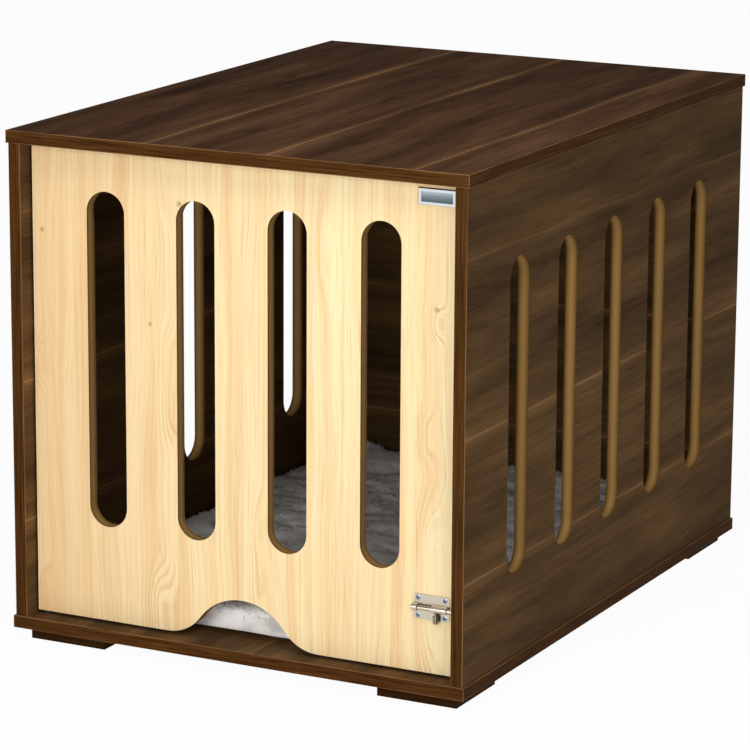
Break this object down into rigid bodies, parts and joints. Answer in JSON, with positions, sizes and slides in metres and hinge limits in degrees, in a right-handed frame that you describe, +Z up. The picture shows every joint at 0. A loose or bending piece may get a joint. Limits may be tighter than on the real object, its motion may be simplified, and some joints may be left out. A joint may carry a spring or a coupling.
{
  "type": "dog crate end table",
  "caption": "Cabinet-style dog crate with a flat table top, slotted walnut-look sides, a slotted maple-look door with a scalloped foot, a barrel bolt and a floor cushion.",
  "frame": {"origin": "middle of the footprint, on the floor", "axes": "+Z up, the door faces -Y, +X to the right of someone facing the door"},
  "size_m": [0.59, 0.8, 0.61],
  "materials": {
    "walnut_laminate": "satin walnut-look laminate",
    "walnut_edge": "satin walnut-look edge strip",
    "maple_laminate": "satin maple-look laminate",
    "maple_edge": "satin maple-look edge strip",
    "beech": "raw beech",
    "zinc_steel": "zinc plated",
    "nickel": "nickel plated",
    "zamak": "die cast, raw",
    "nylon": "black nylon",
    "badge_chrome": "polished",
    "badge_field": "satin",
    "plush": "white long-pile plush"
  },
  "bodies": {
    "cabinet": {"top_board": "walnut_laminate", "top_edge_bands": "walnut_edge", "base_board": "walnut_laminate", "base_edge_bands": "walnut_edge", "left_side_panel": "walnut_laminate", "left_panel_edge_bands": "walnut_edge", "right_side_panel": "walnut_laminate", "right_panel_edge_bands": "walnut_edge", "back_panel": "walnut_laminate", "front_left_foot": "walnut_laminate", "front_right_foot": "walnut_laminate", "back_left_foot": "walnut_laminate", "back_right_foot": "walnut_laminate", "foot_screws": "zinc_steel", "frame_screws": "zinc_steel", "cam_locks": "zamak", "cam_bolts": "zinc_steel", "wood_dowels": "beech", "lower_pivot_pin": "zinc_steel", "upper_pivot_pin": "zinc_steel", "pivot_washer": "nylon", "door_stop": "walnut_laminate", "door_stop_screws": "zinc_steel", "cushion": "plush"},
    "door": {"door_panel": "maple_laminate", "door_edge_bands": "maple_edge", "door_bushes": "nylon", "badge_bezel": "badge_chrome", "badge_plate": "badge_field", "bolt_plate": "nickel", "bolt_screws": "nickel"},
    "bolt": {"bolt_rod": "nickel", "bolt_knob": "nickel"}
  },
  "joints": [
    {"name": "door_swing", "type": "hinge", "parent": "cabinet", "child": "door", "pos_m": [-0.26493, -0.37, 0.313], "axis": [0, 0, -1], "range_deg": [0, 95]},
    {"name": "bolt_slide", "type": "slide", "parent": "door", "child": "bolt", "axis": [1, 0, 0], "range_m": [0, 0.008]}
  ]
}
